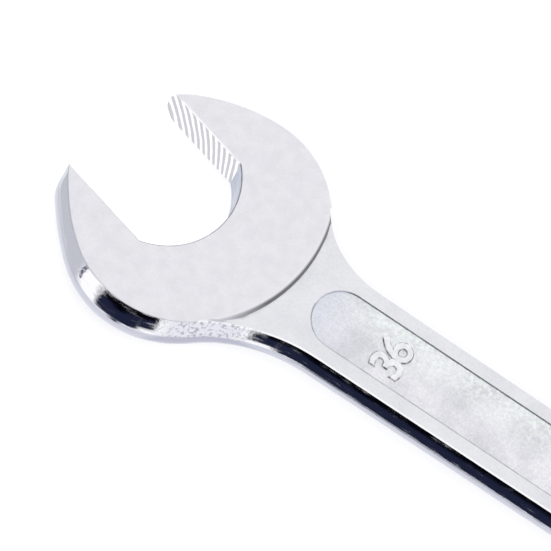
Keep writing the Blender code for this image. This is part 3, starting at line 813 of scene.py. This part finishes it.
def panel_metal():
    """The panel's floor, as forged: greyer to the left, and along its right side pale with specks of
    painted highlight, like a hammered surface.
    """
    made = metal("sunk_panel", PANEL_TONE, PANEL_TONE, (0.34, 0.44), 90.0, 0.00003, 600.0)
    nodes, shader, place = opened(made)
    parts = nodes.parts(place)
    cloud = nodes.spread(nodes.noise(place, 90.0), 0.35, 0.65, 0.0, 1.0)
    tone = nodes.blend(cloud, PANEL_TONE, PANEL_DARK)
    end = nodes.spread(parts["X"], NUT.x + BLUE_FROM_NUT[0], NUT.x + BLUE_FROM_NUT[1], 0.0, 1.0)
    tone = nodes.blend(end, tone, PANEL_BLUE)
    # Painted highlights: pale specks, like a hammered surface, along the panel's right side.
    wavy = nodes.math("MULTIPLY_ADD", nodes.noise(place, 240.0), 0.006, parts["Y"])
    right = nodes.spread(wavy, RING.y + GLINT_FROM_AXIS[0], RING.y + GLINT_FROM_AXIS[1], 1.0, 0.0)
    glint_specks = nodes.spread(nodes.noise(place, 900.0, 4.0), 0.40, 0.60, 0.15, 1.0)
    glints = nodes.math("MULTIPLY", right, glint_specks)
    glints = nodes.math("MULTIPLY", glints, nodes.math("SUBTRACT", 1.0, end))
    tone = nodes.blend(glints, tone, PANEL_GLINT_TONE)
    fine = nodes.spread(nodes.noise(place, SPECKLE_SCALE), 0.35, 0.65, 0.0, 0.12)
    tone = nodes.blend(fine, tone, BLACK)
    nodes.lead(tone, shader, "Base Color")
    return made


def polished_metal():
    """The forging's side: bright chrome over a surface that is wavy, finely pitted and drawn along, with
    painted shade, a lavender tint, where it faces down.
    """
    made = metal("polished_side", SIDE_TONE, SIDE_TONE, (0.06, 0.10), 80.0, 0.00003, 160.0)
    nodes, shader, place = opened(made)
    turned = nodes.add("ShaderNodeNewGeometry").outputs["Normal"]
    up = nodes.parts(turned)["Z"]
    # Painted shade: the side turns lavender where its normal points down.
    low = nodes.spread(up, *UNDERSIDE_SHADE_NORMALS, 1.0, 0.0)
    tone = nodes.blend(low, SIDE_TONE, SIDE_UNDERSIDE_SHADE)
    parts = nodes.parts(place)
    near = nodes.spread(parts["X"], NUT.x + PITS_FROM_NUT[0], NUT.x + PITS_FROM_NUT[1], 0.0, 1.0)
    past = nodes.spread(parts["X"], NUT.x + PITS_TO_NUT[0], NUT.x + PITS_TO_NUT[1], 1.0, 0.0)
    left = nodes.spread(parts["Y"], RING.y, RING.y + PITS_FROM_AXIS, 0.0, 1.0)
    specks = nodes.spread(nodes.noise(place, PIT_SCALE, 4.0), 0.50, 0.62, 0.0, 1.0)
    heel = nodes.math("MULTIPLY", left, nodes.math("MULTIPLY", near, past))
    pitted = nodes.math("MULTIPLY", specks, heel)
    tone = nodes.blend(pitted, tone, PIT_TONE)
    nodes.lead(tone, shader, "Base Color")
    stretch = {0: place, 1: (1.0, 1.0, 7.0)}
    drawn = nodes.add("ShaderNodeVectorMath", stretch, operation="MULTIPLY").outputs["Vector"]
    streaks = nodes.noise(drawn, 170.0)
    rough = nodes.spread(streaks, 0.50, 0.72, 0.06, 0.34)
    nodes.lead(rough, shader, "Roughness")
    coarse, fine = nodes.noise(place, 160.0, 2.0), nodes.noise(place, 1300.0, 2.0)
    height = nodes.math("MULTIPLY_ADD", fine, FINE_PITS, coarse)
    nodes.lead(nodes.bump(height, 0.00003), shader, "Normal")
    return made


def step_metal():
    """The edge of the open head's flat, with painted shade that darkens as it turns down and fades to
    the left.
    """
    made = metal("step_shade", FLAT_TONE, FLAT_TONE, (0.34, 0.42), 160.0, 0.000010, 900.0)
    nodes, shader, place = opened(made)
    turned = nodes.add("ShaderNodeNewGeometry").outputs["Normal"]
    up = nodes.parts(turned)["Z"]
    left = nodes.parts(place)["Y"]
    shade = nodes.spread(up, 0.72, 0.97, 1.0, 0.0)
    kept = nodes.spread(left, RING.y + SHADE_FROM_AXIS[0], RING.y + SHADE_FROM_AXIS[1], 1.0, 0.10)
    colour = nodes.blend(nodes.math("MULTIPLY", shade, kept), FLAT_TONE, SHADE_TONE)
    nodes.lead(colour, shader, "Base Color")
    return made


def forging_materials():
    """One material for each region, in the order of the regions."""
    return [
        metal("ground_flat", FLAT_TONE, FLAT_DARK, (0.34, 0.42), 300.0, 0.000010, 900.0, 0.04),
        metal("shank_face", SHANK_TONE, SHANK_DARK, (0.32, 0.42), 110.0, 0.000014, 700.0, 0.06),
        polished_metal(),
        milled_metal(),
        metal("milled_throat", THROAT_TONE, THROAT_DARK, (0.28, 0.36), 200.0, 0.000015, 900.0),
        panel_metal(),
        metal("machined_inside", INSIDE_TONE, INSIDE_DARK, (0.35, 0.45), 200.0, 0.000010, 900.0),
        step_metal(),
        # Painted shade along the throat's edges and the sunk panel's +Y wall and rim.
        metal("edge_line_shade", EDGE_LINE_SHADE, EDGE_LINE_SHADE_DARK, (0.34, 0.44), 400.0, 0.000010, 900.0),
    ]


# ---------------------------------------------------------------- the pieces

NUMBER_SIZE, NUMBER_SPACING, NUMBER_WEIGHT = 0.0129, 0.80, 0.00012
NUMBER_HEIGHT, NUMBER_BEVEL, NUMBER_LIFT = 0.00012, 0.00026, 0.0001
NUMBER_FROM_NUT, NUMBER_FROM_AXIS = -0.0777, 0.0007


def make_number():
    """The size, raised from the floor of the sunk panel."""
    text = bpy.data.curves.new("size_number", "FONT")
    text.body = "36"
    text.align_x, text.align_y = "CENTER", "CENTER"
    text.size = NUMBER_SIZE
    text.space_character = NUMBER_SPACING
    text.offset = NUMBER_WEIGHT
    text.extrude = NUMBER_HEIGHT
    text.bevel_depth = NUMBER_BEVEL
    text.bevel_resolution = 1
    shaped = placed("number_curve", text)
    bpy.context.view_layer.update()
    mesh = welded(bpy.data.meshes.new_from_object(shaped), WELD_DISTANCE)
    bpy.data.objects.remove(shaped)
    # Faces that don't face up get painted highlights and painted shade, which outline the digits.
    for face in mesh.polygons:
        face.material_index = 0 if abs(face.normal.z) > 0.95 else 1
    top = metal("number_face", NUMBER_TONE, NUMBER_DARK, (0.3, 0.4), 700.0, 0.00001, 900.0)
    sides = metal("number_edge_painted_light", NUMBER_EDGE_HIGHLIGHT, NUMBER_EDGE_SHADE, (0.3, 0.4), 620.0, 0.00001, 900.0)
    for material in (top, sides):
        mesh.materials.append(material)
    made = placed("size_number", mesh)
    made.rotation_euler.z = math.radians(-90.0)
    floor = MIDDLE_Z + SHANK_HALF - PANEL_DEPTH
    made.location = (NUT.x + NUMBER_FROM_NUT, RING.y + NUMBER_FROM_AXIS, floor + NUMBER_LIFT)
    return made


def make_spring():
    """The plunger's spring, in the frame's shape, as its own copy of the mesh that rides with the lever.
    """
    node = frame["nodes"]["plunger_spring"]
    mesh = welded(node.data.copy(), WELD_DISTANCE)
    mesh.transform(node.matrix_world)
    made = placed("coil_spring", mesh)
    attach(made, "lever")
    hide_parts("plunger_spring")
    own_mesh(made)
    return made


def dress(piece, material, bevel):
    """A small piece with its own finish and softened edges."""
    piece.data.materials.clear()
    piece.data.materials.append(material)
    weld = piece.modifiers.new("weld", "WELD")
    weld.merge_threshold = WELD_DISTANCE
    if bevel:
        edges = piece.modifiers.new("edges", "BEVEL")
        edges.width = bevel
        edges.segments = 2
        edges.limit_method = "ANGLE"
        edges.angle_limit = math.radians(35.0)
        edges.harden_normals = False


forging = make_forging()
for material in forging_materials():
    forging.data.materials.append(material)
cut(forging, machining())
soft_edges(forging)
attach(forging, "wrench")
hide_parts("wrench_body")

number = make_number()
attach(number, "wrench")

chrome = metal("gear_chrome", CHROME_TONE, CHROME_DARK, (0.16, 0.26), 300.0, 0.000012, 900.0)
steel = metal("hardened_steel", STEEL_TONE, STEEL_DARK, (0.30, 0.42), 300.0, 0.000010, 900.0)
blackened = metal("blackened_steel", BLACKENED_TONE, BLACKENED_DARK, (0.35, 0.5), 300.0, 0.00001, 900.0)
spring = metal("spring_steel", SPRING_TONE, SPRING_DARK, (0.22, 0.32), 300.0, 0.000008, 900.0)
nodes = frame["nodes"]
dress(nodes["ratchet_gear"], chrome, bevel=0.00012)
dress(nodes["cover_plate"], chrome, bevel=0.00018)
dress(nodes["reversing_lever"], chrome, bevel=0.00025)
dress(nodes["pawl"], steel, bevel=0.00010)
dress(nodes["pawl_pin"], steel, bevel=0.00015)
dress(nodes["detent_plunger"], steel, bevel=0.0)
dress(make_spring(), spring, bevel=0.0)
dress(nodes["lever_clip"], spring, bevel=0.00005)
for k in range(1, 5):
    dress(nodes[f"cover_screw_{k}"], blackened, bevel=0.00008)


# ---------------------------------------------------------------- floor, light and camera

FLOOR_HALF, FLOOR_Z = 6.0, -0.0002
FLOOR_TONE, FLOOR_GLOW = (0.60, 0.60, 0.60, 1.0), 0.65
LAMP_STRENGTH, LAMP_SPREAD, LAMP_TILT = 0.9, 60.0, (12.0, -8.0, 0.0)
LENS, SENSOR = 261.4, 36.0
CAMERA_RIGHT, CAMERA_BACK = (-0.832, -0.5148, 0.2065), (-0.0235, 0.4047, 0.9141)
CAMERA_PLACE = (NUT.x - 0.064482, RING.y + 0.428707, MIDDLE_Z + 0.973884)
STUDIO, DIM_SIDE, DIM_FRONT = (1.06, 1.06, 1.07), (0.86, 0.86, 0.92), (0.555, 0.570, 0.625)
NOTCH, NAVY, INK = (0.08, 0.07, 0.15), (0.014, 0.017, 0.042), (0.001, 0.001, 0.003)
# What the studio holds, each patch over the ones before it. In degrees: azimuths, elevations, and how
# soft its ends are both ways. Then its colour.
PATCHES = (
    ((124.0, 175.0), (-80.0, 50.0), (4.0, 6.0), DIM_SIDE),
    ((-20.0, 46.0), (-41.0, 64.0), (2.0, 8.0), DIM_FRONT),
    ((47.1, 49.5), (-16.0, 42.0), (0.4, 3.0), NOTCH),
    ((68.8, 108.0), (-30.0, 52.0), (2.2, 2.0), NAVY),
    ((106.0, 119.0), (-12.0, 52.0), (1.5, 4.0), NAVY),
    ((84.5, 92.5), (-43.0, -20.0), (4.0, 3.0), NAVY),
    ((68.8, 119.0), (27.0, 50.0), (2.2, 6.0), INK),
    ((83.0, 94.0), (17.0, 50.0), (3.0, 4.0), INK),
)


def make_floor():
    """A wide pale floor under the wrench, which the metal doesn't mirror."""
    bm = bmesh.new()
    bmesh.ops.create_grid(bm, x_segments=1, y_segments=1, size=FLOOR_HALF)
    made = placed_mesh("floor", bm)
    made.location.z = FLOOR_Z
    made.visible_glossy = False
    material = bpy.data.materials.new("pale_floor")
    material.use_nodes = True
    shader = material.node_tree.nodes["Principled BSDF"]
    shader.inputs["Base Color"].default_value = FLOOR_TONE
    shader.inputs["Roughness"].default_value = 0.9
    shader.inputs["Specular IOR Level"].default_value = 0.0
    shader.inputs["Emission Color"].default_value = (*WHITE, 1.0)
    shader.inputs["Emission Strength"].default_value = FLOOR_GLOW
    made.data.materials.append(material)


def make_world():
    """An even white studio with a dim front and one dark opening, which the polished side mirrors."""
    world = bpy.data.worlds.new("studio")
    world.use_nodes = True
    bpy.context.scene.world = world
    nodes = Nodes(world.node_tree)
    towards = nodes.add("ShaderNodeTexCoord").outputs["Generated"]
    parts = nodes.parts(towards)
    azimuth = nodes.math("DEGREES", nodes.math("ARCTAN2", parts["Y"], parts["X"]))
    elevation = nodes.math("DEGREES", nodes.math("ARCSINE", parts["Z"]))

    def window(value, low, high, ease):
        """1 between low and high, 0 outside, with soft ends."""
        up = nodes.spread(value, low - ease, low + ease, 0.0, 1.0)
        down = nodes.spread(value, high - ease, high + ease, 1.0, 0.0)
        return nodes.math("MULTIPLY", up, down)

    colour = STUDIO
    for azimuths, elevations, ease, shade in PATCHES:
        across = window(azimuth, *azimuths, ease[0])
        share = nodes.math("MULTIPLY", across, window(elevation, *elevations, ease[1]))
        colour = nodes.blend(share, colour, shade)
    background = world.node_tree.nodes["Background"]
    nodes.lead(colour, background, "Color")
    background.inputs["Strength"].default_value = 1.0


def make_camera():
    """A long lens over the open jaw, from the wrench's left side."""
    data = bpy.data.cameras.new("camera")
    data.sensor_width = SENSOR
    data.lens = LENS
    data.clip_end = 20.0
    made = placed("camera", data)
    right, back = Vector(CAMERA_RIGHT).normalized(), Vector(CAMERA_BACK).normalized()
    up = back.cross(right)
    turn = Matrix((right, up, back)).transposed()
    made.matrix_world = Matrix.LocRotScale(Vector(CAMERA_PLACE), turn, None)
    bpy.context.scene.camera = made


def make_lamp():
    """A broad soft lamp overhead, which brightens the floor and isn't mirrored by the metal."""
    data = bpy.data.lights.new("overhead", "SUN")
    data.energy = LAMP_STRENGTH
    data.angle = math.radians(LAMP_SPREAD)
    made = placed("overhead", data)
    made.visible_glossy = False
    made.rotation_euler = [math.radians(angle) for angle in LAMP_TILT]


make_floor()
make_world()
make_lamp()
make_camera()
bpy.context.scene.view_settings.view_transform = "Standard"

bpy.context.view_layer.update()
